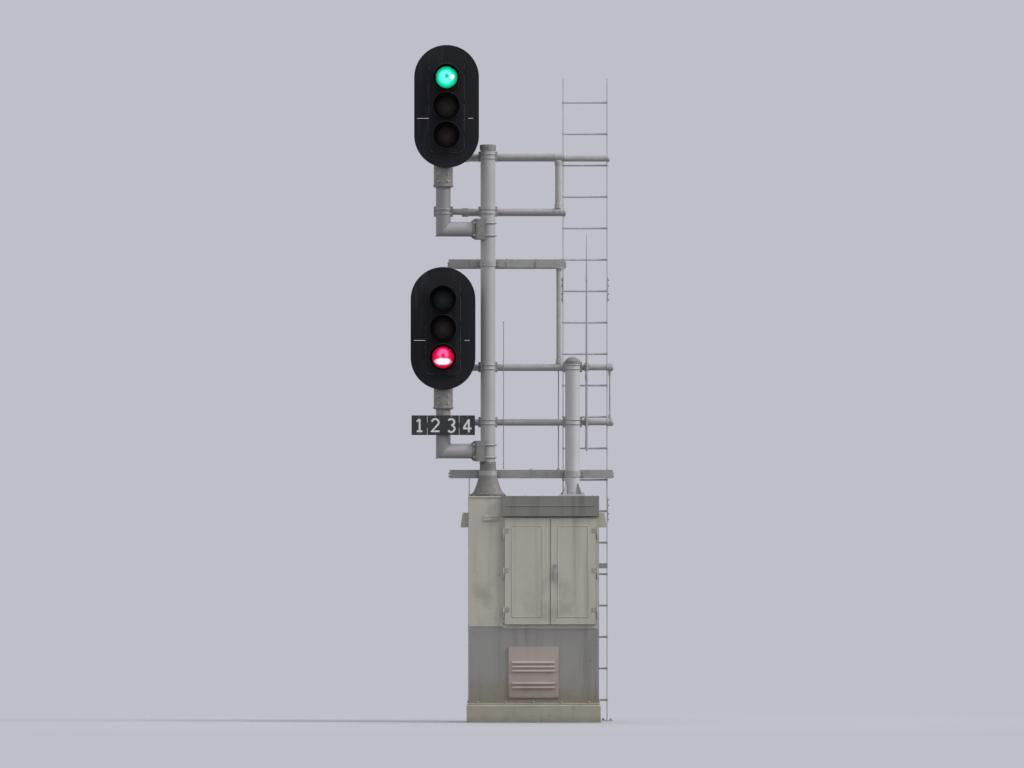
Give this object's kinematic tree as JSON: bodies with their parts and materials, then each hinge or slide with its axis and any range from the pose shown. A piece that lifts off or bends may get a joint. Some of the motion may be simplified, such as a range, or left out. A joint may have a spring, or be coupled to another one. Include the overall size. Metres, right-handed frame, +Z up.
{
  "type": "wayside railway colour-light signal on a pipe mast with platforms and equipment case",
  "caption": "Wayside signal: lamp heads on bracket arms from a pipe mast on an equipment case, with railed platforms, a ladder and hinged case doors.",
  "frame": {"origin": "middle of the plinth's underside, at ground level", "axes": "+X along the front of the case, to the right seen from the track; the lamps look towards -Y; +Z up"},
  "size_m": [1.952, 1.284, 6.5214],
  "materials": {
    "concrete": "weathered concrete",
    "case_paint": "weathered light grey paint",
    "lower_case_paint": "weathered grey paint",
    "vent_paint": "faded beige paint",
    "hood_paint": "dull darker grey paint",
    "cast_paint": "dull grey paint over castings",
    "mast_paint": "dull aluminium paint",
    "rail_paint": "weathered galvanised pipe",
    "galvanised": "dull galvanised steel",
    "head_black": "matt black paint",
    "plate_black": "black plates with white digits",
    "antenna_grey": "grey glass fibre",
    "green_glass": "ribbed green lens",
    "yellow_glass": "ribbed yellow lens",
    "red_glass": "ribbed red lens"
  },
  "bodies": {
    "structure": {"foundation": "concrete", "case_left_wall": "case_paint", "case_right_wall": "case_paint", "case_rear_wall": "case_paint", "case_middle_deck": "case_paint", "lower_front_panel": "lower_case_paint", "louvre_vent": "vent_paint", "front_jambs": "case_paint", "front_header": "case_paint", "case_roof": "case_paint", "front_hood": "hood_paint", "side_vents": "case_paint", "hinge_knuckles": "galvanised", "mast_base": "cast_paint", "mast": "mast_paint", "second_post": "mast_paint", "post_caps": "cast_paint", "arm_clamps": "cast_paint", "head_collars": "cast_paint", "upper_arm": "mast_paint", "upper_riser": "mast_paint", "upper_housing": "head_black", "upper_background": "head_black", "upper_hoods": "head_black", "lower_arm": "mast_paint", "lower_riser": "mast_paint", "lower_housing": "head_black", "lower_background": "head_black", "lower_hoods": "head_black", "green_lenses": "green_glass", "yellow_lenses": "yellow_glass", "red_lenses": "red_glass", "number_plates": "plate_black", "number_bracket": "galvanised", "upper_deck_frame": "galvanised", "upper_deck": "galvanised", "upper_front_rails": "rail_paint", "upper_rear_rails": "rail_paint", "lower_deck_frame": "galvanised", "lower_deck": "galvanised", "lower_front_rails": "rail_paint", "lower_rear_rails": "rail_paint", "end_rails": "rail_paint", "post_clamps": "galvanised", "platform_strut": "rail_paint", "tie_rods": "galvanised", "whip_antenna": "antenna_grey", "ladder": "galvanised", "ladder_brackets": "galvanised"},
    "left_door": {"door_left": "case_paint"},
    "right_door": {"door_right": "case_paint", "door_handle": "galvanised"}
  },
  "joints": [
    {"name": "left_door_hinge", "type": "hinge", "parent": "structure", "child": "left_door", "pos_m": [-0.29, -0.408, 1.45], "axis": [0, 0, -1], "range_deg": [0, 110]},
    {"name": "right_door_hinge", "type": "hinge", "parent": "structure", "child": "right_door", "pos_m": [0.612, -0.408, 1.45], "axis": [0, 0, 1], "range_deg": [0, 110]}
  ]
}
